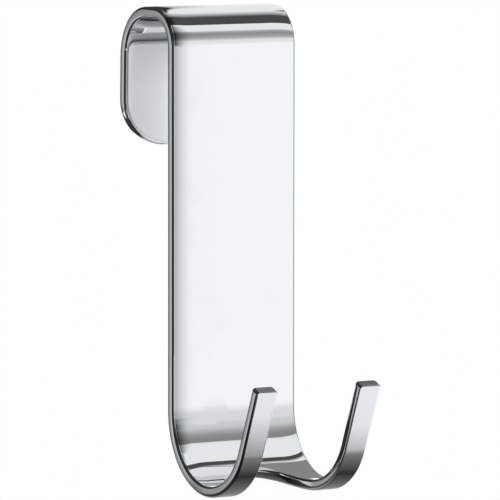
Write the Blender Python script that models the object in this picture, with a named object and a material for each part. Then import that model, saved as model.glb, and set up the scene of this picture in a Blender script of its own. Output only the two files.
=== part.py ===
"""Over-the-door hook for a glass shower door.

One strip of bright metal is bent over the door's top edge. Its short tongue hangs down behind the
glass, its plate hangs down in front, and at the plate's foot the strip curves forward into a cradle
that a slot divides into two leaning arms. Soft pads keep the metal off the glass.

Metres, +Z up. The front of the hook looks along -Y and X runs across the strip. The origin is the
middle of the glass's top edge, on the underside of the crown.
"""

import math

import bmesh
import bpy
from mathutils import Matrix, Vector

MM = 0.001

# The strip that everything is bent from
STRIP_WIDTH = 25.0 * MM
STRIP_THICKNESS = 2.0 * MM
EDGE_ROUNDING = 0.5 * MM

# The crown over the door, with inside radii, and the tongue behind the glass
DOOR_GAP = 15.5 * MM
CROWN_FRONT_RADIUS = 4.8 * MM
CROWN_REAR_RADIUS = 7.2 * MM
TONGUE_LENGTH = 16.2 * MM
TONGUE_CORNER_RADIUS = 8.5 * MM
TONGUE_FLARE = math.radians(1.2)

# The plate in front of the glass
PLATE_LENGTH = 64.1 * MM

# The cradle at the plate's foot, with inside radii, and its two arms
CRADLE_REAR_RADIUS = 12.0 * MM
CRADLE_FRONT_RADIUS = 12.3 * MM
ARM_LEAN = math.radians(23.4)
ARM_LENGTH = 12.6 * MM
ARM_WIDTH = 4.3 * MM
ARM_TIP_CORNER = 0.6 * MM
ARM_TIP_ROUNDING = 0.15 * MM
SLOT_START = 13.9 * MM  # along the strip, from the plate's foot to the slot's round end

# The soft pads and the adhesive film under them
PAD_THICKNESS = 1.2 * MM
PAD_FILM = 0.3 * MM
TONGUE_PAD_MARGIN = 0.5 * MM
PLATE_PAD_MARGIN = 1.5 * MM
PAD_CORNER_RADIUS = 1.5 * MM
PAD_ROUNDING = 0.25 * MM
TONGUE_PAD_RISE = 3.2 * MM  # how far the tongue's pad runs up into the crown's rear bend
PLATE_PAD_LENGTH = 17.0 * MM
PLATE_PAD_DROP = 1.5 * MM
FOOT_PAD_LENGTH = 10.0 * MM
FOOT_PAD_RISE = 1.5 * MM

# Fineness of the mesh
BEND_STEP = math.radians(5.0)
CORNER_STEP = math.radians(7.5)
ROUNDING_STEPS = 3
MERGE_DISTANCE = 0.002 * MM

# Finishes: colour, metallic value and roughness
CHROME = ((0.80, 0.81, 0.83), 1.0, 0.06)
SILICONE = ((0.78, 0.80, 0.80), 0.0, 0.45)

# Places that follow from the sizes above. The blank stands upright in the plate's plane.
HALF_WIDTH = STRIP_WIDTH / 2
PLATE_MIDDLE_Y = -(DOOR_GAP + STRIP_THICKNESS) / 2
PLATE_BACK_Y = PLATE_MIDDLE_Y + STRIP_THICKNESS / 2
PLATE_TOP_Z = -CROWN_FRONT_RADIUS
PLATE_FOOT_Z = PLATE_TOP_Z - PLATE_LENGTH
CROWN_FLAT = DOOR_GAP - CROWN_FRONT_RADIUS - CROWN_REAR_RADIUS


def middle_radius(inside_radius):
    """Radius of a bend along the middle of the strip's thickness."""
    return inside_radius + STRIP_THICKNESS / 2


def bend(start, way, radius, angle):
    """One bend of the blank: the height where it starts, which way along the blank it works."""
    return {"start": start, "way": way, "radius": radius, "angle": angle}


def bend_end(fold):
    """Height on the flat blank where a bend ends."""
    return fold["start"] + fold["way"] * fold["radius"] * fold["angle"]


QUARTER = math.pi / 2
UP = 1
DOWN = -1
CROWN_FRONT = bend(PLATE_TOP_Z, UP, middle_radius(CROWN_FRONT_RADIUS), QUARTER)
CROWN_REAR = bend(
    bend_end(CROWN_FRONT) + CROWN_FLAT, UP, middle_radius(CROWN_REAR_RADIUS), QUARTER - TONGUE_FLARE
)
CRADLE_REAR = bend(PLATE_FOOT_Z, DOWN, middle_radius(CRADLE_REAR_RADIUS), QUARTER)
CRADLE_FRONT = bend(
    bend_end(CRADLE_REAR), DOWN, middle_radius(CRADLE_FRONT_RADIUS), QUARTER - ARM_LEAN
)
FOLDING_ORDER = (CROWN_REAR, CROWN_FRONT, CRADLE_FRONT, CRADLE_REAR)

BLANK_TOP = bend_end(CROWN_REAR) + TONGUE_LENGTH
BLANK_FOOT = bend_end(CRADLE_FRONT) - ARM_LENGTH


def folded(point):
    """Where a point of the flat upright blank goes: the outer bends are folded before the inner.

    The upper bends wrap back around the door, and the lower ones come forward.
    """
    height = point.z
    for fold in FOLDING_ORDER:
        way, radius = fold["way"], fold["radius"]
        turn = min(max((height - fold["start"]) * way / radius, 0.0), fold["angle"])
        centre = Vector((0.0, PLATE_MIDDLE_Y + way * radius, fold["start"]))
        point = point - Vector((0.0, 0.0, way * radius * turn))
        point = centre + Matrix.Rotation(-turn, 3, "X") @ (point - centre)
    return point


def bend_heights():
    """Heights on the flat blank where it is scored, so that its faces can follow the bends."""
    heights = []
    for fold in FOLDING_ORDER:
        steps = max(1, math.ceil(fold["angle"] / BEND_STEP))
        for step in range(steps + 1):
            travel = fold["radius"] * fold["angle"] * step / steps
            heights.append(fold["start"] + fold["way"] * travel)
    return heights


def clear_scene():
    """Start from an empty scene."""
    for thing in list(bpy.data.objects):
        bpy.data.objects.remove(thing)


def finish(name, look):
    """Plain material with the colour, metallic value and roughness of one finish."""
    colour, metallic, roughness = look
    material = bpy.data.materials.new(name)
    material.use_nodes = True
    shader = material.node_tree.nodes["Principled BSDF"]
    shader.inputs["Base Color"].default_value = (*colour, 1.0)
    shader.inputs["Metallic"].default_value = metallic
    shader.inputs["Roughness"].default_value = roughness
    return material


def half_outline(corners):
    """Right half of a flat outline, from its top centre clockwise to its bottom centre.

    A corner is (x, z, corner radius, rounding of the edge after it). Each point that comes back
    is (place, outward normal, rounding), with place and normal in the plane of the sheet.
    """
    first, last = corners[0], corners[-1]
    points = [(Vector(first[:2]), Vector((0.0, 1.0)), first[3])]
    for before, corner, after in zip(corners, corners[1:], corners[2:]):
        here = Vector(corner[:2])
        arriving = (here - Vector(before[:2])).normalized()
        leaving = (Vector(after[:2]) - here).normalized()
        turn = math.atan2(
            arriving.x * leaving.y - arriving.y * leaving.x, arriving.dot(leaving)
        )
        outward = Vector((-arriving.y, arriving.x))
        radius = math.copysign(corner[2], turn)
        centre = here - arriving * corner[2] * math.tan(abs(turn) / 2) + outward * radius
        steps = max(1, math.ceil(abs(turn) / CORNER_STEP))
        for step in range(steps + 1):
            share = step / steps
            normal = Matrix.Rotation(turn * share, 2) @ outward
            rounding = before[3] + (corner[3] - before[3]) * share
            points.append((centre - normal * radius, normal, rounding))
    points.append((Vector(last[:2]), Vector((0.0, -1.0)), last[3]))
    return points


def edge_rows(front_y, back_y):
    """Rows of a rounded edge from face to face: the face, and the depth and inset from it.

    Depth and inset are shares of the edge's rounding.
    """
    quarter_turn = []
    for step in range(ROUNDING_STEPS + 1):
        angle = QUARTER * step / ROUNDING_STEPS
        quarter_turn.append((1.0 - math.cos(angle), 1.0 - math.sin(angle)))
    front = [(front_y, depth, inset) for depth, inset in quarter_turn]
    back = [(back_y, -depth, inset) for depth, inset in reversed(quarter_turn)]
    return front + back


def half_sheet(outline, front_y, back_y):
    """Open half of a flat sheet with rounded edges, on the side of +X."""
    sheet = bmesh.new()
    rows = []
    for face_y, depth, inset in edge_rows(front_y, back_y):
        row = []
        for place, normal, rounding in outline:
            flat = place - normal * rounding * inset
            row.append(sheet.verts.new((flat.x, face_y + depth * rounding, flat.y)))
        rows.append(row)
    sheet.faces.new(rows[0])
    sheet.faces.new(reversed(rows[-1]))
    for row, next_row in zip(rows, rows[1:]):
        for index in range(len(row) - 1):
            sheet.faces.new((row[index + 1], row[index], next_row[index], next_row[index + 1]))
    return sheet


def score(sheet, heights):
    """Cut every face of a flat sheet across at the given heights."""
    for height in heights:
        everything = sheet.verts[:] + sheet.edges[:] + sheet.faces[:]
        bmesh.ops.bisect_plane(
            sheet, geom=everything, dist=MERGE_DISTANCE, plane_co=(0, 0, height), plane_no=(0, 0, 1)
        )


def mirror_across(sheet):
    """Close a half sheet with its mirror image on the side of -X."""
    everything = sheet.verts[:] + sheet.edges[:] + sheet.faces[:]
    copy = bmesh.ops.duplicate(sheet, geom=everything)["geom"]
    for part in copy:
        if isinstance(part, bmesh.types.BMVert):
            part.co.x = -part.co.x
    bmesh.ops.remove_doubles(sheet, verts=sheet.verts[:], dist=MERGE_DISTANCE)
    bmesh.ops.recalc_face_normals(sheet, faces=sheet.faces[:])


def folded_sheet(name, corners, front_y, back_y, material):
    """A named object: a flat sheet cut to its outline, scored, folded and given its finish."""
    sheet = half_sheet(half_outline(corners), front_y, back_y)
    score(sheet, bend_heights())
    mirror_across(sheet)
    for vertex in sheet.verts:
        vertex.co = folded(vertex.co)
    bmesh.ops.triangulate(sheet, faces=sheet.faces[:])
    mesh = bpy.data.meshes.new(name)
    sheet.to_mesh(mesh)
    sheet.free()
    mesh.materials.append(material)
    mesh.shade_smooth()
    mesh.set_sharp_from_angle(angle=math.radians(40.0))
    thing = bpy.data.objects.new(name, mesh)
    bpy.context.scene.collection.objects.link(thing)
    return thing


def make_hook_body(material):
    """The bent strip, from the tongue's round end to the tips of the two arms."""
    slot_edge = HALF_WIDTH - ARM_WIDTH
    slot_end = PLATE_FOOT_Z - SLOT_START
    corners = (
        (0.0, BLANK_TOP, 0.0, EDGE_ROUNDING),
        (HALF_WIDTH, BLANK_TOP, TONGUE_CORNER_RADIUS, EDGE_ROUNDING),
        (HALF_WIDTH, BLANK_FOOT, ARM_TIP_CORNER, ARM_TIP_ROUNDING),
        (slot_edge, BLANK_FOOT, ARM_TIP_CORNER, EDGE_ROUNDING),
        (slot_edge, slot_end, slot_edge, EDGE_ROUNDING),
        (0.0, slot_end, 0.0, EDGE_ROUNDING),
    )
    front_y = PLATE_MIDDLE_Y - STRIP_THICKNESS / 2
    folded_sheet("hook_body", corners, front_y, PLATE_BACK_Y, material)


def make_pad(name, margin, top, foot, material):
    """A pad on the door side of the strip; top and foot are each (height, corner radius)."""
    edge = HALF_WIDTH - margin
    corners = (
        (0.0, top[0], 0.0, PAD_ROUNDING),
        (edge, top[0], top[1], PAD_ROUNDING),
        (edge, foot[0], foot[1], PAD_ROUNDING),
        (0.0, foot[0], 0.0, PAD_ROUNDING),
    )
    front_y = PLATE_BACK_Y + PAD_FILM
    folded_sheet(name, corners, front_y, front_y + PAD_THICKNESS, material)


def make_pads(material):
    """The tongue's pad, its counterpart on the plate and the pad at the plate's foot."""
    tongue_end = (BLANK_TOP - TONGUE_PAD_MARGIN, TONGUE_CORNER_RADIUS - TONGUE_PAD_MARGIN)
    crown_end = (bend_end(CROWN_REAR) - TONGUE_PAD_RISE, PAD_CORNER_RADIUS)
    make_pad("tongue_pad", TONGUE_PAD_MARGIN, tongue_end, crown_end, material)

    plate_pad_top = PLATE_TOP_Z - PLATE_PAD_DROP
    top_end = (plate_pad_top, PAD_CORNER_RADIUS)
    round_end = (plate_pad_top - PLATE_PAD_LENGTH, TONGUE_CORNER_RADIUS - PLATE_PAD_MARGIN)
    make_pad("plate_pad", PLATE_PAD_MARGIN, top_end, round_end, material)

    foot_pad_foot = PLATE_FOOT_Z + FOOT_PAD_RISE
    top_end = (foot_pad_foot + FOOT_PAD_LENGTH, PAD_CORNER_RADIUS)
    foot_end = (foot_pad_foot, PAD_CORNER_RADIUS)
    make_pad("foot_pad", PLATE_PAD_MARGIN, top_end, foot_end, material)


clear_scene()
make_hook_body(finish("bright_chrome", CHROME))
make_pads(finish("pale_silicone", SILICONE))
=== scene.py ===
"""A bright hook for a glass shower door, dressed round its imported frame.

Metres, +Z up. The front of the hook looks along -Y and X runs across the strip. The origin is the
middle of the glass's top edge, on the underside of the crown.
"""

import math

import bmesh
import bpy
from mathutils import Matrix, Quaternion, Vector


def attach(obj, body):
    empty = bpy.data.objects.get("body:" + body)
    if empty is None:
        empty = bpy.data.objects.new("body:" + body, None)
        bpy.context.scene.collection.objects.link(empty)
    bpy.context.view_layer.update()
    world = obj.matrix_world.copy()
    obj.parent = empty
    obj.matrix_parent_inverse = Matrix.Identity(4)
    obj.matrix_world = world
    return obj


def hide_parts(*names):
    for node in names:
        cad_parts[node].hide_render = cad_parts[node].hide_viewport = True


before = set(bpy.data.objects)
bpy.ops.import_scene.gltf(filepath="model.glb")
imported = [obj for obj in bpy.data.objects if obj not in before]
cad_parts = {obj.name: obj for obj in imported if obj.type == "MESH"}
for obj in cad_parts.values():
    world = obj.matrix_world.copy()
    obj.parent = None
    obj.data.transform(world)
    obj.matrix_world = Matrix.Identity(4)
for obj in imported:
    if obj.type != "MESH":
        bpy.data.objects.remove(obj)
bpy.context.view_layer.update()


# The bent strip

# One strip of flat steel bar, 25 x 2 mm. One end is cut round for the tongue behind the glass, and
# a round-ended slot divides the other into two arms. Its edges are rounded over by polishing, it is
# bent cold over four formers, two for the crown and two for the cradle, and then chrome-plated.

MM = 0.001
STRIP_WIDTH = 25.0 * MM
STRIP_THICKNESS = 2.0 * MM
EDGE_ROUNDING = 0.5 * MM
DOOR_GAP = 15.5 * MM
CROWN_FRONT_RADIUS = 4.8 * MM
CROWN_REAR_RADIUS = 7.2 * MM
TONGUE_LENGTH = 16.2 * MM
TONGUE_CORNER_RADIUS = 8.5 * MM
TONGUE_FLARE = math.radians(1.2)
PLATE_LENGTH = 64.1 * MM
CRADLE_REAR_RADIUS = 12.0 * MM
CRADLE_FRONT_RADIUS = 12.3 * MM
ARM_LEAN = math.radians(23.4)
ARM_LENGTH = 12.6 * MM
ARM_WIDTH = 4.3 * MM
ARM_TIP_CORNER = 0.6 * MM
ARM_TIP_ROUNDING = 0.15 * MM
SLOT_START = 13.9 * MM

BEND_STEP = math.radians(1.25)
CORNER_STEP = math.radians(3.0)
ROUNDING_STEPS = 8
MERGE_DISTANCE = 0.001 * MM

HALF_WIDTH = STRIP_WIDTH / 2
QUARTER = math.pi / 2
SHEET_MIDDLE = -(DOOR_GAP + STRIP_THICKNESS) / 2
SHEET_FRONT = SHEET_MIDDLE - STRIP_THICKNESS / 2
SHEET_BACK = SHEET_MIDDLE + STRIP_THICKNESS / 2
PLATE_TOP = -CROWN_FRONT_RADIUS
PLATE_FOOT = PLATE_TOP - PLATE_LENGTH
CROWN_FLAT = DOOR_GAP - CROWN_FRONT_RADIUS - CROWN_REAR_RADIUS


def bend(start, way, inside_radius, angle):
    """One bend: its height on the flat strip, up or down it, its middle radius and its angle."""
    radius = inside_radius + STRIP_THICKNESS / 2
    return {
        "start": start, "way": way, "radius": radius, "angle": angle,
        "end": start + way * radius * angle,
    }


crown_front = bend(PLATE_TOP, 1, CROWN_FRONT_RADIUS, QUARTER)
crown_rear = bend(crown_front["end"] + CROWN_FLAT, 1, CROWN_REAR_RADIUS, QUARTER - TONGUE_FLARE)
cradle_rear = bend(PLATE_FOOT, -1, CRADLE_REAR_RADIUS, QUARTER)
cradle_front = bend(cradle_rear["end"], -1, CRADLE_FRONT_RADIUS, QUARTER - ARM_LEAN)
BENDS = {
    "crown rear": crown_rear, "crown front": crown_front,
    "cradle front": cradle_front, "cradle rear": cradle_rear,
}
STRIP_TOP = crown_rear["end"] + TONGUE_LENGTH
STRIP_FOOT = cradle_front["end"] - ARM_LENGTH


def half_outline(corners):
    """Right half of a flat outline, from its top middle clockwise to its bottom middle.

    A corner is (x, z, corner radius, rounding of the edge after it). Each point that comes back is
    (place, outward direction, rounding), with place and direction in the plane of the sheet.
    """
    first, last = corners[0], corners[-1]
    points = [(Vector(first[:2]), Vector((0.0, 1.0)), first[3])]
    for before, corner, after in zip(corners, corners[1:], corners[2:]):
        here = Vector(corner[:2])
        arriving = (here - Vector(before[:2])).normalized()
        leaving = (Vector(after[:2]) - here).normalized()
        turn = math.atan2(
            arriving.x * leaving.y - arriving.y * leaving.x, arriving.dot(leaving)
        )
        outward = Vector((-arriving.y, arriving.x))
        radius = math.copysign(corner[2], turn)
        centre = here - arriving * corner[2] * math.tan(abs(turn) / 2) + outward * radius
        steps = max(1, math.ceil(abs(turn) / CORNER_STEP))
        for step in range(steps + 1):
            share = step / steps
            direction = Matrix.Rotation(turn * share, 2) @ outward
            rounding = before[3] + (corner[3] - before[3]) * share
            points.append((centre - direction * radius, direction, rounding))
    points.append((Vector(last[:2]), Vector((0.0, -1.0)), last[3]))
    return points


def edge_rows(front, back):
    """Rows round a rounded edge: the face's Y, depth from it, inset, and the row's lean to it."""
    rows = []
    for face, into, steps in (
        (front, 1, range(ROUNDING_STEPS + 1)),
        (back, -1, range(ROUNDING_STEPS, -1, -1)),
    ):
        for step in steps:
            lean = QUARTER * step / ROUNDING_STEPS
            rows.append((face, into * (1 - math.cos(lean)), 1 - math.sin(lean), into, lean))
    return rows


def flat_blank(name, corners, front, back):
    """A flat sheet cut to its outline, with rounded edges, and scored across where it will bend.

    Each point carries the exact direction that the finished surface faces there.
    """
    sheet = bmesh.new()
    facing = sheet.verts.layers.float_vector.new("facing")
    outline = half_outline(corners)
    rows = []
    for face, depth, inset, into, lean in edge_rows(front, back):
        row = []
        for place, direction, rounding in outline:
            flat = place - direction * rounding * inset
            vertex = sheet.verts.new((flat.x, face + depth * rounding, flat.y))
            across = direction * math.sin(lean)
            vertex[facing] = (across.x, -into * math.cos(lean), across.y)
            row.append(vertex)
        rows.append(row)
    sheet.faces.new(rows[0])
    sheet.faces.new(reversed(rows[-1]))
    for row, next_row in zip(rows, rows[1:]):
        for index in range(len(row) - 1):
            sheet.faces.new((row[index + 1], row[index], next_row[index], next_row[index + 1]))

    for fold in BENDS.values():
        steps = math.ceil(fold["angle"] / BEND_STEP)
        for step in range(steps + 1):
            height = fold["start"] + (fold["end"] - fold["start"]) * step / steps
            bmesh.ops.bisect_plane(
                sheet, geom=sheet.verts[:] + sheet.edges[:] + sheet.faces[:],
                dist=MERGE_DISTANCE, plane_co=(0, 0, height), plane_no=(0, 0, 1),
            )

    whole = sheet.verts[:] + sheet.edges[:] + sheet.faces[:]
    for made in bmesh.ops.duplicate(sheet, geom=whole)["geom"]:
        if isinstance(made, bmesh.types.BMVert):
            made.co.x = -made.co.x
            made[facing].x = -made[facing].x
    bmesh.ops.remove_doubles(sheet, verts=sheet.verts[:], dist=MERGE_DISTANCE)
    bmesh.ops.recalc_face_normals(sheet, faces=sheet.faces[:])
    broad = [face for face in sheet.faces if len(face.verts) > 4]
    bmesh.ops.triangulate(sheet, faces=broad)
    mesh = bpy.data.meshes.new(name)
    sheet.to_mesh(mesh)
    sheet.free()
    return mesh


def add(tree, kind, feeds=None, **settings):
    """A node in a tree. feeds gives its inputs, by name or number, as values or sockets."""
    made = tree.nodes.new(kind)
    for name, value in settings.items():
        setattr(made, name, value)
    for place, value in (feeds or {}).items():
        if isinstance(value, bpy.types.NodeSocket):
            tree.links.new(value, made.inputs[place])
        else:
            made.inputs[place].default_value = value
    return made


def sum_of(tree, operation, *terms, **settings):
    """What one Math node gives for its terms."""
    return add(
        tree, "ShaderNodeMath", dict(enumerate(terms)), operation=operation, **settings
    ).outputs[0]


def tree_socket(tree, way, kind, name, value=None):
    """A named input or output of a node tree."""
    socket = tree.interface.new_socket(name, in_out=way, socket_type="NodeSocket" + kind)
    if value is not None:
        socket.default_value = value
    return socket


def one_bend():
    """Node group that wraps places and facings of the flat strip round one former."""
    group = bpy.data.node_groups.new("wrap round one former", "GeometryNodeTree")
    for name in ("Place", "Facing"):
        tree_socket(group, "INPUT", "Vector", name)
        tree_socket(group, "OUTPUT", "Vector", name)
    for name in ("Height", "Start", "Way", "Radius", "Angle", "Sheet middle"):
        tree_socket(group, "INPUT", "Float", name)
    given = add(group, "NodeGroupInput").outputs
    beyond = sum_of(group, "SUBTRACT", given["Height"], given["Start"])
    signed_radius = sum_of(group, "MULTIPLY", given["Radius"], given["Way"])
    wrapped = sum_of(group, "MAXIMUM", sum_of(group, "DIVIDE", beyond, signed_radius), 0.0)
    turn = sum_of(group, "MINIMUM", wrapped, given["Angle"])
    travel = sum_of(group, "MULTIPLY", signed_radius, turn)
    axis_y = sum_of(group, "ADD", given["Sheet middle"], signed_radius)
    axis = add(group, "ShaderNodeCombineXYZ", {"Y": axis_y, "Z": given["Start"]}).outputs[0]
    drop = add(group, "ShaderNodeCombineXYZ", {"Z": travel}).outputs[0]
    lowered = add(
        group, "ShaderNodeVectorMath", {0: given["Place"], 1: drop}, operation="SUBTRACT"
    ).outputs[0]
    back_turn = sum_of(group, "MULTIPLY", turn, -1.0)
    place = add(
        group, "ShaderNodeVectorRotate",
        {"Vector": lowered, "Center": axis, "Angle": back_turn}, rotation_type="X_AXIS",
    )
    faces = add(
        group, "ShaderNodeVectorRotate",
        {"Vector": given["Facing"], "Angle": back_turn}, rotation_type="X_AXIS",
    )
    add(group, "NodeGroupOutput", {"Place": place.outputs[0], "Facing": faces.outputs[0]})
    return group


def bending_tree():
    """Geometry Nodes that bend a scored flat sheet round all four formers, the outer ones first."""
    tree = bpy.data.node_groups.new("bend the strip", "GeometryNodeTree")
    tree_socket(tree, "INPUT", "Geometry", "Flat sheet")
    tree_socket(tree, "OUTPUT", "Geometry", "Bent sheet")
    tree_socket(tree, "INPUT", "Float", "Sheet middle", SHEET_MIDDLE)
    for name, fold in BENDS.items():
        for size in ("start", "radius", "angle"):
            tree_socket(tree, "INPUT", "Float", f"{name} {size}", fold[size])
    tree_socket(tree, "INPUT", "Material", "Finish")
    given = add(tree, "NodeGroupInput").outputs
    place = add(tree, "GeometryNodeInputPosition").outputs[0]
    height = add(tree, "ShaderNodeSeparateXYZ", {0: place}).outputs["Z"]
    facing = add(
        tree, "GeometryNodeInputNamedAttribute", {"Name": "facing"}, data_type="FLOAT_VECTOR"
    ).outputs["Attribute"]
    former = one_bend()
    unbent = place
    for name, fold in BENDS.items():
        wrap = add(tree, "GeometryNodeGroup", node_tree=former)
        for socket, value in {
            "Place": place, "Facing": facing, "Height": height, "Way": float(fold["way"]),
            "Start": given[f"{name} start"], "Radius": given[f"{name} radius"],
            "Angle": given[f"{name} angle"], "Sheet middle": given["Sheet middle"],
        }.items():
            if isinstance(value, float):
                wrap.inputs[socket].default_value = value
            else:
                tree.links.new(value, wrap.inputs[socket])
        place, facing = wrap.outputs["Place"], wrap.outputs["Facing"]
    sheet = given["Flat sheet"]
    for name, value in (("unbent", unbent), ("facing", facing)):
        sheet = add(
            tree, "GeometryNodeStoreNamedAttribute",
            {"Geometry": sheet, "Name": name, "Value": value},
            data_type="FLOAT_VECTOR", domain="POINT",
        ).outputs[0]
    sheet = add(tree, "GeometryNodeSetPosition", {"Geometry": sheet, "Position": place}).outputs[0]
    sheet = add(tree, "GeometryNodeRealizeInstances", {0: sheet}).outputs[0]
    sheet = add(
        tree, "GeometryNodeSetMaterial", {"Geometry": sheet, "Material": given["Finish"]}
    ).outputs[0]
    add(tree, "NodeGroupOutput", {0: sheet})
    return tree


bending = bending_tree()


def bent_sheet(name, corners, front, back, finish):
    """A named piece: a flat sheet, bent by the Geometry Nodes and made a plain mesh."""
    flat = bpy.data.objects.new(name, flat_blank(name, corners, front, back))
    bpy.context.scene.collection.objects.link(flat)
    modifier = flat.modifiers.new("bend", "NODES")
    modifier.node_group = bending
    sizes = {"Sheet middle": SHEET_MIDDLE, "Finish": finish}
    for bend_name, fold in BENDS.items():
        for size in ("start", "radius", "angle"):
            sizes[f"{bend_name} {size}"] = fold[size]
    for socket in bending.interface.items_tree:
        if socket.in_out == "INPUT" and socket.name in sizes:
            modifier[socket.identifier] = sizes[socket.name]
    evaluated = flat.evaluated_get(bpy.context.evaluated_depsgraph_get())
    mesh = bpy.data.meshes.new_from_object(evaluated)
    flat.modifiers.remove(modifier)
    flat.data = mesh
    mesh.name = name
    mesh.shade_smooth()
    directions = [Vector(item.vector).normalized() for item in mesh.attributes["facing"].data]
    mesh.normals_split_custom_set_from_vertices(directions)
    mesh.attributes.remove(mesh.attributes["facing"])
    return flat


def new_finish(name):
    """An empty node material: its tree, its Principled shader and the material itself."""
    material = bpy.data.materials.new(name)
    material.use_nodes = True
    tree = material.node_tree
    return material, tree, tree.nodes["Principled BSDF"]


CHROME = (0.895, 0.905, 0.915, 1.0)
CHROME_HAZE = (0.875, 0.89, 0.905, 1.0)
# The next colour is painted shade, for the darkened hollow of the rear bend
CHROME_PAINTED_SHADE = (0.68, 0.685, 0.695, 1.0)
SHEARED_END = (0.36, 0.36, 0.375, 1.0)
WHITE = (1.0, 1.0, 1.0, 1.0)
BLACK = (0.0, 0.0, 0.0, 1.0)
MIRROR_ROUGHNESS = 0.03
PLATE_ROUGHNESS = 0.07
SHEARED_ROUGHNESS = 0.32
MARKED_ROUGHNESS = 0.012
ROLL_OFF_WIDTH = 4.0 * MM
ROLL_OFF_DEPTH = 0.21 * MM
ROLL_OFF_POWER = 3.0
SIDE_CROWNING_RADIUS = 4.8 * MM
ARMS_START_OVER = 6.0 * MM

# Waves and polishing lines, as (along X, along Y, along Z) for each metre, and their heights
WAVES = (160.0, 160.0, 90.0)
WAVE_HEIGHT = 0.006 * MM
POLISH_LINES = (9000.0, 9000.0, 120.0)
LINE_HEIGHT = 0.00006 * MM

# Heights where a change of finish starts and where it is full: the softer polish from the plate's
# top and from its foot, the sheared skin from the strip's foot, and the painted shade that darkens
# the hollow of the rear bend, from its own top and its own bottom, from the plate's foot
FACE_DEPTH = 0.15 * MM
CROWN_POLISH = (1.0 * MM, -4.0 * MM)
FOOT_POLISH = (-2.0 * MM, 6.0 * MM)
SHEARED_SKIN = (0.16 * MM, 0.05 * MM)
PAINTED_SHADE_TOP = (0.8 * MM, -1.2 * MM)
PAINTED_SHADE_BOTTOM = (-7.2 * MM, -5.5 * MM)

# The painted glow that reflections get of the arms: the room's tone where an arm leaves the bend,
# and further out
ARM_PAINTED_GLOW_LENGTH = 4.5 * MM
ARM_PAINTED_GLOW_TONES = (0.86, 1.0)

slot_edge = HALF_WIDTH - ARM_WIDTH
slot_end = PLATE_FOOT - SLOT_START


def between(tree, value, low, high, to_low=0.0, to_high=1.0):
    """A value brought smoothly from one range to another, and held at the ends."""
    return add(
        tree, "ShaderNodeMapRange",
        {"Value": value, "From Min": low, "From Max": high, "To Min": to_low, "To Max": to_high},
        interpolation_type="SMOOTHSTEP",
    ).outputs["Result"]


def blended(tree, share, first, second):
    """Two colours mixed."""
    mix = add(tree, "ShaderNodeMix", {"Factor": share}, data_type="RGBA")
    for socket, colour in ((mix.inputs[6], first), (mix.inputs[7], second)):
        if isinstance(colour, bpy.types.NodeSocket):
            tree.links.new(colour, socket)
        else:
            socket.default_value = colour
    return mix.outputs[2]


def scaled(tree, place, *factors):
    """A place with each of its coordinates multiplied."""
    return add(
        tree, "ShaderNodeVectorMath", {0: place, 1: factors}, operation="MULTIPLY"
    ).outputs[0]


# Where a smudge starts and is full in its noise, which cells hold a speck, and a speck's radius as
# a share of its cell
SMUDGE_THRESHOLD = (0.5, 0.72)
SPECK_CHOICE = (0.86, 0.9)
SPECK_RADIUS = (0.2, 0.1)


def handling_marks():
    """Shader node group: faint smudges and settled specks, for every finish on the hook."""
    group = bpy.data.node_groups.new("handling marks", "ShaderNodeTree")
    tree_socket(group, "INPUT", "Vector", "Place")
    for name in ("Smudge size", "Smudge amount", "Speck size", "Speck amount"):
        tree_socket(group, "INPUT", "Float", name)
    for name in ("Smudges", "Specks"):
        tree_socket(group, "OUTPUT", "Float", name)
    given = add(group, "NodeGroupInput").outputs
    spread = {}
    for kind in ("Smudge", "Speck"):
        finer = sum_of(group, "DIVIDE", 1.0, given[f"{kind} size"])
        spread[kind] = add(
            group, "ShaderNodeVectorMath", {0: given["Place"], "Scale": finer}, operation="SCALE"
        ).outputs[0]
    cloud = add(
        group, "ShaderNodeTexNoise",
        {"Vector": spread["Smudge"], "Scale": 1.0, "Detail": 4.0, "Roughness": 0.6,
         "Distortion": 0.4},
    ).outputs["Fac"]
    smudged = between(group, cloud, *SMUDGE_THRESHOLD)
    smudges = sum_of(group, "MULTIPLY", smudged, given["Smudge amount"])
    cells = add(
        group, "ShaderNodeTexVoronoi", {"Vector": spread["Speck"], "Scale": 1.0}, feature="F1"
    ).outputs
    cell_number = add(group, "ShaderNodeSeparateColor", {0: cells["Color"]}).outputs[0]
    chosen = between(group, cell_number, *SPECK_CHOICE)
    inside = between(group, cells["Distance"], *SPECK_RADIUS)
    specks = sum_of(
        group, "MULTIPLY", sum_of(group, "MULTIPLY", inside, chosen), given["Speck amount"]
    )
    add(group, "NodeGroupOutput", {"Smudges": smudges, "Specks": specks})
    return group


marks = handling_marks()


def marks_on(tree, place, smudge_size, smudge_amount, speck_size, speck_amount):
    """The handling marks placed in a material, with its own sizes and amounts."""
    return add(
        tree, "ShaderNodeGroup",
        {"Place": place, "Smudge size": smudge_size, "Smudge amount": smudge_amount,
         "Speck size": speck_size, "Speck amount": speck_amount},
        node_tree=marks,
    ).outputs


def roll_off(tree, distance):
    """Height lost towards an edge that the polishing wheel has rounded over."""
    inward = sum_of(tree, "MAXIMUM", sum_of(tree, "SUBTRACT", distance, EDGE_ROUNDING), 0.0)
    left = sum_of(tree, "SUBTRACT", 1.0, sum_of(tree, "DIVIDE", inward, ROLL_OFF_WIDTH))
    left = sum_of(tree, "MAXIMUM", left, 0.0)
    return sum_of(tree, "MULTIPLY", sum_of(tree, "POWER", left, ROLL_OFF_POWER), -ROLL_OFF_DEPTH)


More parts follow.
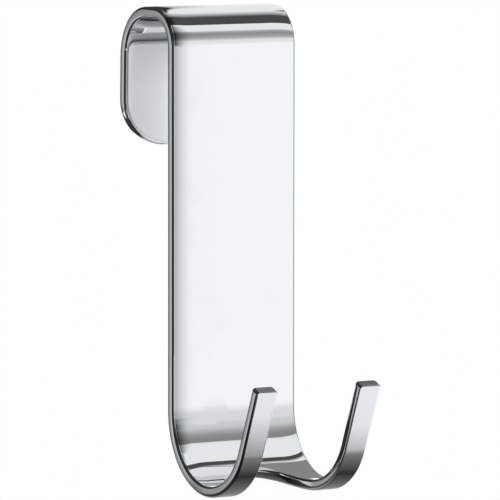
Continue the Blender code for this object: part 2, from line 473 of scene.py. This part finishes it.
def bright_chrome():
    """Mirror-bright chrome over polished steel, rolled off a little towards its cut edges.

    The pattern lies on the flat strip, so it follows the bends as the polishing did.
    """
    material, tree, shader = new_finish("bright_chrome")
    flat = add(tree, "ShaderNodeAttribute", attribute_name="unbent").outputs["Vector"]
    x, y, z = add(tree, "ShaderNodeSeparateXYZ", {0: flat}).outputs
    across = sum_of(tree, "ABSOLUTE", x)

    # Distance to the outer edge, round corners of the tongue included
    past_side = sum_of(tree, "SUBTRACT", across, HALF_WIDTH - TONGUE_CORNER_RADIUS)
    past_end = sum_of(tree, "SUBTRACT", z, STRIP_TOP - TONGUE_CORNER_RADIUS)
    corner = add(
        tree, "ShaderNodeCombineXYZ",
        {"X": sum_of(tree, "MAXIMUM", past_side, 0.0), "Y": sum_of(tree, "MAXIMUM", past_end, 0.0)},
    ).outputs[0]
    reach = add(tree, "ShaderNodeVectorMath", {0: corner}, operation="LENGTH").outputs["Value"]
    inner = sum_of(tree, "MINIMUM", sum_of(tree, "MAXIMUM", past_side, past_end), 0.0)
    to_outer = sum_of(
        tree, "SUBTRACT", TONGUE_CORNER_RADIUS, sum_of(tree, "ADD", reach, inner)
    )
    on_arms = between(tree, z, slot_end, slot_end - ARMS_START_OVER)
    rolled = sum_of(
        tree, "MULTIPLY", roll_off(tree, to_outer), sum_of(tree, "SUBTRACT", 1.0, on_arms)
    )

    # The cut edges are slightly crowned too, through the strip's thickness
    from_middle = sum_of(tree, "SUBTRACT", y, SHEET_MIDDLE)
    crowned = sum_of(
        tree, "DIVIDE", sum_of(tree, "POWER", from_middle, 2.0), -2.0 * SIDE_CROWNING_RADIUS
    )
    rolled = sum_of(tree, "ADD", rolled, crowned)

    # A faint waviness that the bending leaves, and hair-fine lines along the strip from polishing
    wave = add(
        tree, "ShaderNodeTexNoise",
        {"Vector": scaled(tree, flat, *WAVES), "Scale": 1.0, "Detail": 1.0},
    ).outputs["Fac"]
    lines = add(
        tree, "ShaderNodeTexNoise",
        {"Vector": scaled(tree, flat, *POLISH_LINES), "Scale": 1.0, "Detail": 3.0},
    ).outputs["Fac"]
    height = sum_of(tree, "ADD", rolled, sum_of(tree, "MULTIPLY", wave, WAVE_HEIGHT))
    height = sum_of(tree, "ADD", height, sum_of(tree, "MULTIPLY", lines, LINE_HEIGHT))
    bump = add(tree, "ShaderNodeBump", {"Height": height, "Strength": 1.0, "Distance": 1.0})
    tree.links.new(bump.outputs[0], shader.inputs["Normal"])

    # The broad front face has a softer polish than the bends, and the sheared tips the least
    on_face = between(tree, y, SHEET_FRONT + FACE_DEPTH, SHEET_FRONT)
    below_crown = between(tree, z, *(PLATE_TOP + over for over in CROWN_POLISH))
    above_foot = between(tree, z, *(PLATE_FOOT + over for over in FOOT_POLISH))
    plain_face = sum_of(
        tree, "MULTIPLY", on_face, sum_of(tree, "MULTIPLY", below_crown, above_foot)
    )
    sheared = between(tree, z, *(STRIP_FOOT + over for over in SHEARED_SKIN))
    seen = marks_on(
        tree, flat, smudge_size=6.0 * MM, smudge_amount=1.0, speck_size=1.1 * MM, speck_amount=0.5
    )
    marked = sum_of(tree, "ADD", seen["Smudges"], lines)
    roughness = sum_of(
        tree, "ADD", between(tree, plain_face, 0.0, 1.0, MIRROR_ROUGHNESS, PLATE_ROUGHNESS),
        sum_of(tree, "MULTIPLY", marked, MARKED_ROUGHNESS),
    )
    roughness = sum_of(
        tree, "ADD", roughness, sum_of(tree, "MULTIPLY", sheared, SHEARED_ROUGHNESS)
    )
    tree.links.new(roughness, shader.inputs["Roughness"])
    hazed = sum_of(tree, "ADD", seen["Smudges"], seen["Specks"])
    colour = blended(tree, hazed, CHROME, CHROME_HAZE)

    # Painted shade: the front face is darkened in the hollow of the rear bend, for its dark
    # reflection
    into_painted_shade = between(tree, z, *(PLATE_FOOT + over for over in PAINTED_SHADE_TOP))
    out_of_painted_shade = between(tree, z, *(PLATE_FOOT + over for over in PAINTED_SHADE_BOTTOM))
    painted_shade_in_hollow = sum_of(
        tree, "MULTIPLY", on_face, sum_of(tree, "MULTIPLY", into_painted_shade, out_of_painted_shade)
    )
    colour = blended(tree, painted_shade_in_hollow, colour, CHROME_PAINTED_SHADE)
    colour = blended(tree, sheared, colour, SHEARED_END)

    # Painted reflection, unlike real chrome: to any reflection the arms turn black and glow with the
    # white room's tone, instead of showing themselves
    mirrored = add(tree, "ShaderNodeLightPath").outputs["Is Glossy Ray"]
    unseen = sum_of(tree, "MULTIPLY", on_arms, mirrored)
    tree.links.new(blended(tree, unseen, colour, BLACK), shader.inputs["Base Color"])
    bent_end = STRIP_FOOT + ARM_LENGTH
    room = between(tree, z, bent_end, bent_end - ARM_PAINTED_GLOW_LENGTH, *ARM_PAINTED_GLOW_TONES)
    arms_painted_glow = sum_of(tree, "MULTIPLY", unseen, room)
    tree.links.new(blended(tree, arms_painted_glow, BLACK, WHITE), shader.inputs["Emission Color"])
    shader.inputs["Emission Strength"].default_value = 1.0
    shader.inputs["Metallic"].default_value = 1.0
    return material


hook = bent_sheet(
    "bent_strip",
    (
        (0.0, STRIP_TOP, 0.0, EDGE_ROUNDING),
        (HALF_WIDTH, STRIP_TOP, TONGUE_CORNER_RADIUS, EDGE_ROUNDING),
        (HALF_WIDTH, STRIP_FOOT, ARM_TIP_CORNER, ARM_TIP_ROUNDING),
        (slot_edge, STRIP_FOOT, ARM_TIP_CORNER, EDGE_ROUNDING),
        (slot_edge, slot_end, slot_edge, EDGE_ROUNDING),
        (0.0, slot_end, 0.0, EDGE_ROUNDING),
    ),
    SHEET_FRONT, SHEET_BACK, bright_chrome(),
)
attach(hook, "root")
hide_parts("hook_body")


# The soft pads

# Three flat pads of pale, slightly cloudy silicone keep the metal off the glass: one inside the
# tongue, with the tongue's own round end, its counterpart on the plate, and one at the plate's foot.
# Each is cut from moulded sheet and stuck on with a thin film of clear adhesive.

PAD_THICKNESS = 1.2 * MM
PAD_FILM = 0.3 * MM
TONGUE_PAD_MARGIN = 0.5 * MM
PLATE_PAD_MARGIN = 1.5 * MM
PAD_CORNER_RADIUS = 1.5 * MM
PAD_ROUNDING = 0.25 * MM
TONGUE_PAD_RISE = 3.2 * MM
PLATE_PAD_LENGTH = 17.0 * MM
PLATE_PAD_DROP = 1.5 * MM
FOOT_PAD_LENGTH = 10.0 * MM
FOOT_PAD_RISE = 1.5 * MM

SILICONE = (0.865, 0.87, 0.875, 1.0)
SILICONE_CLOUD = (0.84, 0.85, 0.86, 1.0)
SILICONE_DUST = (0.77, 0.77, 0.765, 1.0)
SILICONE_ROUGHNESS = 0.34
SMUDGED_ROUGHNESS = 0.12
SILICONE_SCATTER = 0.25
SILICONE_IOR = 1.41

# Clouds in the rubber and grain of its skin, as how many to a metre, and their heights
CLOUDS = 220.0
CLOUD_HEIGHT = 0.03 * MM
GRAIN = 5200.0
GRAIN_HEIGHT = 0.004 * MM


def pale_silicone():
    """Cloudy pale silicone rubber with a satin moulded skin, and a little dust on it."""
    material, tree, shader = new_finish("pale_silicone")
    place = add(tree, "ShaderNodeTexCoord").outputs["Object"]
    cloud = add(
        tree, "ShaderNodeTexNoise",
        {"Vector": scaled(tree, place, CLOUDS, CLOUDS, CLOUDS), "Scale": 1.0, "Detail": 3.0},
    ).outputs["Fac"]
    grain = add(
        tree, "ShaderNodeTexNoise",
        {"Vector": scaled(tree, place, GRAIN, GRAIN, GRAIN), "Scale": 1.0, "Detail": 2.0},
    ).outputs["Fac"]
    seen = marks_on(
        tree, place, smudge_size=4.0 * MM, smudge_amount=1.0, speck_size=0.7 * MM, speck_amount=0.6
    )
    colour = blended(tree, cloud, SILICONE, SILICONE_CLOUD)
    colour = blended(tree, seen["Specks"], colour, SILICONE_DUST)
    tree.links.new(colour, shader.inputs["Base Color"])
    smudged = sum_of(tree, "MULTIPLY", seen["Smudges"], SMUDGED_ROUGHNESS)
    roughness = sum_of(tree, "ADD", SILICONE_ROUGHNESS, smudged)
    tree.links.new(roughness, shader.inputs["Roughness"])
    height = sum_of(
        tree, "ADD", sum_of(tree, "MULTIPLY", grain, GRAIN_HEIGHT),
        sum_of(tree, "MULTIPLY", cloud, CLOUD_HEIGHT),
    )
    bump = add(tree, "ShaderNodeBump", {"Height": height, "Strength": 1.0, "Distance": 1.0})
    tree.links.new(bump.outputs[0], shader.inputs["Normal"])
    shader.inputs["Subsurface Weight"].default_value = SILICONE_SCATTER
    shader.inputs["Subsurface Radius"].default_value = (1.0, 1.0, 1.0)
    shader.inputs["Subsurface Scale"].default_value = PAD_THICKNESS
    shader.inputs["IOR"].default_value = SILICONE_IOR
    return material


def stuck_pad(name, node, margin, top, foot, finish):
    """A pad on the door side of the strip; top and foot are each (height, corner radius)."""
    edge = HALF_WIDTH - margin
    front = SHEET_BACK + PAD_FILM
    pad = bent_sheet(
        name,
        (
            (0.0, top[0], 0.0, PAD_ROUNDING),
            (edge, top[0], top[1], PAD_ROUNDING),
            (edge, foot[0], foot[1], PAD_ROUNDING),
            (0.0, foot[0], 0.0, PAD_ROUNDING),
        ),
        front, front + PAD_THICKNESS, finish,
    )
    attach(pad, "root")
    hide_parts(node)


silicone = pale_silicone()
plate_pad_top = PLATE_TOP - PLATE_PAD_DROP
foot_pad_foot = PLATE_FOOT + FOOT_PAD_RISE
stuck_pad(
    "pad_on_tongue", "tongue_pad", TONGUE_PAD_MARGIN,
    (STRIP_TOP - TONGUE_PAD_MARGIN, TONGUE_CORNER_RADIUS - TONGUE_PAD_MARGIN),
    (crown_rear["end"] - TONGUE_PAD_RISE, PAD_CORNER_RADIUS), silicone,
)
stuck_pad(
    "pad_on_plate", "plate_pad", PLATE_PAD_MARGIN, (plate_pad_top, PAD_CORNER_RADIUS),
    (plate_pad_top - PLATE_PAD_LENGTH, TONGUE_CORNER_RADIUS - PLATE_PAD_MARGIN), silicone,
)
stuck_pad(
    "pad_at_foot", "foot_pad", PLATE_PAD_MARGIN,
    (foot_pad_foot + FOOT_PAD_LENGTH, PAD_CORNER_RADIUS), (foot_pad_foot, PAD_CORNER_RADIUS),
    silicone,
)


# The camera

# A long lens, a little over a metre away to the front left and slightly above the hook. It is
# turned round a point on the plate's front, and then aimed a little to the right of it and below.

VIEW_TURN = math.radians(29.58)
VIEW_RISE = math.radians(5.02)
VIEW_ROLL = math.radians(0.063)
VIEW_DISTANCE = 1.1006
VIEW_CENTRE = Vector((0.0, SHEET_FRONT, -37.3 * MM))
AIM_RIGHT = 2.81 * MM
AIM_DOWN = 3.59 * MM
LENS = 447.8
NEAREST_SEEN = 0.05
FARTHEST_SEEN = 30.0

away = Vector((
    -math.sin(VIEW_TURN) * math.cos(VIEW_RISE), -math.cos(VIEW_TURN) * math.cos(VIEW_RISE),
    math.sin(VIEW_RISE),
))
right = Vector((math.cos(VIEW_TURN), -math.sin(VIEW_TURN), 0.0))
up = right.cross(-away)
station = VIEW_CENTRE + away * VIEW_DISTANCE
aim = VIEW_CENTRE + right * AIM_RIGHT - up * AIM_DOWN
camera = bpy.data.objects.new("camera", bpy.data.cameras.new("camera"))
camera.data.lens = LENS
camera.data.clip_start = NEAREST_SEEN
camera.data.clip_end = FARTHEST_SEEN
camera.location = station
camera.rotation_mode = "QUATERNION"
camera.rotation_quaternion = (
    (aim - station).to_track_quat("-Z", "Y") @ Quaternion((0.0, 0.0, 1.0), VIEW_ROLL)
)
bpy.context.scene.collection.objects.link(camera)
bpy.context.scene.camera = camera


# The studio

# A plain pale floor well below the hook, soft even light from all round and a wide soft lamp.
# Grey and black cards stand round it, as for any mirror-bright thing. Only reflections see them.

FLOOR_DROP = 0.30
FLOOR_SIZE = 20.0
FLOOR_PAPER = 0.8
PAPER_ROUGHNESS = 0.9
LAMP_SHARE = 1.0
LAMP_TURN = math.radians(-52.0)
LAMP_RISE = math.radians(14.0)
LAMP_SOFTNESS = math.radians(28.0)
PLAIN_LIGHT = 1.0 - LAMP_SHARE * math.sin(LAMP_RISE)

scene = bpy.context.scene
scene.view_settings.view_transform = "Standard"


def seen_directly_or_mirrored(tree):
    """1 for what the camera sees, straight, in metal or through something clear."""
    path = add(tree, "ShaderNodeLightPath").outputs
    mirrored = sum_of(tree, "MAXIMUM", path["Is Glossy Ray"], path["Is Transmission Ray"])
    return sum_of(tree, "MAXIMUM", path["Is Camera Ray"], mirrored)


floor_mesh = bmesh.new()
bmesh.ops.create_grid(floor_mesh, x_segments=1, y_segments=1, size=FLOOR_SIZE)
bmesh.ops.translate(floor_mesh, verts=floor_mesh.verts[:], vec=(0.0, 0.0, -FLOOR_DROP))
floor = bpy.data.objects.new("floor", bpy.data.meshes.new("floor"))
floor_mesh.to_mesh(floor.data)
floor_mesh.free()
scene.collection.objects.link(floor)
paper, paper_tree, paper_shader = new_finish("floor_paper")
paper_shader.inputs["Base Color"].default_value = (FLOOR_PAPER, FLOOR_PAPER, FLOOR_PAPER, 1.0)
paper_shader.inputs["Roughness"].default_value = PAPER_ROUGHNESS
paper_shader.inputs["Specular IOR Level"].default_value = 0.0
paper_shader.inputs["Emission Color"].default_value = WHITE
paper_tree.links.new(
    sum_of(paper_tree, "MULTIPLY", seen_directly_or_mirrored(paper_tree), 1.0 - FLOOR_PAPER),
    paper_shader.inputs["Emission Strength"],
)
floor.data.materials.append(paper)

scene.world = bpy.data.worlds.new("studio")
scene.world.use_nodes = True
air = scene.world.node_tree
plain = air.nodes["Background"]
plain.inputs["Color"].default_value = WHITE
plain.inputs["Strength"].default_value = PLAIN_LIGHT

# The walls as reflections see them, as (angle, tone): 0 is the front, 90 straight up, 180 the back
WALL_TONES = (
    (-180, 0.87), (-90, 0.95), (-20, 0.98), (-5.5, 1.0), (2, 0.93), (20, 0.82), (50, 0.95),
    (80, 0.90), (110, 0.87), (180, 0.87),
)
direction = add(
    air, "ShaderNodeSeparateXYZ", {0: add(air, "ShaderNodeTexCoord").outputs["Generated"]}
).outputs
rise = sum_of(air, "ARCTAN2", direction["Z"], sum_of(air, "MULTIPLY", direction["Y"], -1.0))
round_share = between(air, rise, -math.pi, math.pi)
round_share.node.interpolation_type = "LINEAR"
walls = add(air, "ShaderNodeValToRGB", {0: round_share})
walls.color_ramp.interpolation = "LINEAR"
while len(walls.color_ramp.elements) < len(WALL_TONES):
    walls.color_ramp.elements.new(0.5)
for stop, (angle, tone) in zip(walls.color_ramp.elements, WALL_TONES):
    stop.position = (angle + 180.0) / 360.0
    stop.color = (tone, tone, tone, 1.0)
mirrored_air = add(air, "ShaderNodeBackground", {"Color": walls.outputs[0], "Strength": 1.0})
white_air = add(air, "ShaderNodeBackground", {"Color": WHITE, "Strength": 1.0})
path = add(air, "ShaderNodeLightPath").outputs
lit = add(
    air, "ShaderNodeMixShader",
    {0: path["Is Glossy Ray"], 1: plain.outputs[0], 2: mirrored_air.outputs[0]},
)
straight = sum_of(air, "MAXIMUM", path["Is Camera Ray"], path["Is Transmission Ray"])
shown = add(air, "ShaderNodeMixShader", {0: straight, 1: lit.outputs[0], 2: white_air.outputs[0]})
air.links.new(shown.outputs[0], air.nodes["World Output"].inputs["Surface"])

lamp = bpy.data.objects.new("wide_soft_lamp", bpy.data.lights.new("wide_soft_lamp", "SUN"))
lamp.data.angle = LAMP_SOFTNESS
lamp.data.energy = LAMP_SHARE * math.pi
lamp.rotation_euler = (QUARTER - LAMP_RISE, 0.0, -LAMP_TURN)
lamp.visible_glossy = False
scene.collection.objects.link(lamp)

card_finish, card_tree, card_shader = new_finish("studio_card")
card_tree.nodes.remove(card_shader)
glow = add(
    card_tree, "ShaderNodeEmission",
    {"Strength": add(card_tree, "ShaderNodeAttribute", attribute_name="tone").outputs["Fac"]},
)
card_tree.links.new(glow.outputs[0], card_tree.nodes["Material Output"].inputs["Surface"])


def card(name, rows):
    """A folded or swept card; each row gives the points across it, each as (place, tone)."""
    shape = bmesh.new()
    tone_of = shape.verts.layers.float.new("tone")
    grid = []
    for row in rows:
        grid.append([shape.verts.new(place) for place, _ in row])
        for vertex, (_, tone) in zip(grid[-1], row):
            vertex[tone_of] = tone
    for row, next_row in zip(grid, grid[1:]):
        for a, b, c, d in zip(row, row[1:], next_row[1:], next_row):
            shape.faces.new((a, b, c, d))
    made = bpy.data.objects.new(name, bpy.data.meshes.new(name))
    shape.to_mesh(made.data)
    shape.free()
    made.data.materials.append(card_finish)
    scene.collection.objects.link(made)
    for rays in ("camera", "diffuse", "transmission", "volume_scatter", "shadow"):
        setattr(made, f"visible_{rays}", False)


def level_card(name, columns, folds, skew=0.0):
    """A card with its length along X, in millimetres.

    folds gives (y, z, tone) down its profile; columns gives (x, share of the tone, grey added).
    """
    card(name, [
        [
            (Vector((x, y + skew * x, z)) * MM, tone * share + added * (1 - tone))
            for x, share, added in columns
        ]
        for y, z, tone in folds
    ])


def sideways(lean, reach):
    """How far along X a ray gets on its way, where lean is the X of its direction."""
    return reach * lean / math.sqrt(1 - lean ** 2)


# A card's tone is 1 where it is white. The two level cards close to the hook are shaded at the left.
CARD_BLACK = 0.03
LEFT_SHADE = 0.1

# In front and above: grey, deepest where it folds away along the cradle's line of sight, and black
# towards the left
FAN_RISE = math.radians(49.5)
FAN_FOOT = Vector((-11.0, -13.0, -77.0))
FAN_LEANS = ((-0.95, 0.06), (0.2, 0.06), (0.45, 1.0), (0.95, 1.0))
FAN_FRONT = ((-365, 20, 0.9), (-350, 90, 0.8), (-225, 90, 0.4), (-195, 119, 0.3))
FAN_REACHES = ((268, 0.3), (740, 0.8))
folds = list(FAN_FRONT)
for reach, tone in FAN_REACHES:
    folds.append((
        FAN_FOOT.y - reach * math.cos(FAN_RISE), FAN_FOOT.z + reach * math.sin(FAN_RISE), tone
    ))
fan = []
for y, z, tone in folds:
    reach = math.hypot(y - FAN_FOOT.y, z - FAN_FOOT.z)
    fan.append([
        (Vector((FAN_FOOT.x + sideways(lean, reach), y, z)) * MM, tone * share)
        for lean, share in FAN_LEANS
    ])
card("front_card", fan)

# Over everything: one pale grey, and black at the left. The black's edge is given as its leans in
# front, overhead and at the back, and it turns from each to the next between two angles.
VAULT_REACH = 0.75
VAULT_TONE = 0.87
VAULT_LEANS = (
    (-0.95, -0.95, -0.95, 0.04), (0.2, 0.24, 0.46, 0.04), (0.45, 0.29, 0.49, 1.0),
    (0.9, 0.9, 0.9, 1.0),
)
VAULT_ANGLES = range(9, 178, 8)
VAULT_UP = (55, 64)
VAULT_BACK = (90, 150)


def share_between(value, low, high):
    """How far a value is on its way between two others, held at 0 and 1."""
    return min(max((value - low) / (high - low), 0.0), 1.0)


vault = []
for rise in VAULT_ANGLES:
    upward = share_between(rise, *VAULT_UP)
    backward = share_between(rise, *VAULT_BACK)
    angle = math.radians(rise)
    row = []
    for front_lean, top_lean, back_lean, share in VAULT_LEANS:
        lean = front_lean + (top_lean - front_lean) * upward
        across = sideways(lean + (back_lean - lean) * backward, VAULT_REACH)
        row.append((
            Vector((across, -VAULT_REACH * math.cos(angle), VAULT_REACH * math.sin(angle))),
            VAULT_TONE * share,
        ))
    vault.append(row)
card("vault", vault)

# Close over the crown: black with a crisp front edge that fades to the back
OVERHEAD = 20.0
OVERHEAD_BLACK = 0.07
level_card(
    "overhead_card", ((-150, LEFT_SHADE, 0), (-6, LEFT_SHADE, 0), (-2.5, 1, 0), (150, 1, 0)),
    ((-18.2, OVERHEAD, OVERHEAD_BLACK), (-6, OVERHEAD, OVERHEAD_BLACK), (3, OVERHEAD, VAULT_TONE)),
)

# Close below: black, with a soft front edge that the arms' fronts show
UNDER = -98.0
LOW_SKEW = 0.18
LOW_TONES = ((-84, 0.95), (-62, 0.85), (-50, 0.2), (-32, CARD_BLACK), (60, 0.8))
level_card(
    "low_card", ((-200, LEFT_SHADE, 0), (-16, LEFT_SHADE, 0), (-8, 1, 0), (39, 1, 0)),
    [(y, UNDER, tone) for y, tone in LOW_TONES], LOW_SKEW,
)

# Close below on the right: grey, for the inside of the crown
INSIDE_TONE = 0.68
level_card("inside_card", ((41, 1, 0), (72, 1, 0)), [(y, UNDER, INSIDE_TONE) for y in (-20, 60)])

# Behind the cradle on the right: dark grey, and set further out where it passes the crown
FLAG_PLACE = 12.0
FLAG_RIGHT = 90
FLAG_TONE = 0.25
FLAG_LEFT_EDGE = ((23, -85), (23, -40), (34, -10), (36, 110))
card("rear_flag", [
    [(Vector((x, FLAG_PLACE, z)) * MM, FLAG_TONE) for x in (left, FLAG_RIGHT)]
    for left, z in FLAG_LEFT_EDGE
])

# On the floor: black to the left and behind. The rear one lies on the left one, and its right end
# fades to white.
FLOOR_CARD = -290.0
CARD_STEP = 1.0
level_card(
    "left_floor_card", ((-800, 1, 0), (-30, 1, 0)),
    [(y, FLOOR_CARD, CARD_BLACK) for y in (-600, 420)],
)
level_card(
    "rear_floor_card", ((-225, 1, 0), (60, 1, 0), (210, 1, 1)),
    [(y, FLOOR_CARD + CARD_STEP, CARD_BLACK) for y in (200, 1000)],
)

SWEEP_REACH = 0.8
SWEEP_FOOT = -0.29


def standing_card(name, stops):
    """A card that stands round the hook, in metres.

    A stop gives degrees round to the left from straight in front, and (height, tone) up the card.
    """
    rows = []
    for turn, levels in stops:
        side = math.radians(turn)
        reach = Vector((-math.sin(side), -math.cos(side), 0.0)) * SWEEP_REACH
        rows.append([(reach + Vector((0.0, 0.0, height)), tone) for height, tone in levels])
    card(name, rows)


# Round the front and the left: white at its right end, black to the left, and grey further back
# for the strip's cut edges. Past the white end it is black above the hook all the way round.
LEFT_WHITE_END = -29
LEFT_SHOULDER = (-0.02, 0.07)
LEFT_TOP = 2.5
LEFT_TONES = (
    (-50, 1.0), (LEFT_WHITE_END, 1.0), (-8, 0.4), (10, CARD_BLACK), (35, CARD_BLACK),
    (60, CARD_BLACK), (96, CARD_BLACK), (101, 0.7), (135, 0.6), (162, 0.08), (180, 0.08),
)
stops = []
for turn, tone in LEFT_TONES:
    above = tone if turn <= LEFT_WHITE_END else CARD_BLACK
    stops.append((turn, (
        (SWEEP_FOOT, tone), (LEFT_SHOULDER[0], tone), (LEFT_SHOULDER[1], above), (LEFT_TOP, above),
    )))
standing_card("left_sweep", stops)

# Round the right: a dark card that only edges turned that way show
RIGHT_TOP = 0.25
RIGHT_TONES = (
    (-52, 0.9), (-60, 0.15), (-75, 0.10), (-90, 0.10), (-105, 0.10), (-120, 0.10), (-132, 0.15),
    (-142, 0.87),
)
standing_card(
    "right_sweep", [(turn, ((SWEEP_FOOT, tone), (RIGHT_TOP, tone))) for turn, tone in RIGHT_TONES]
)
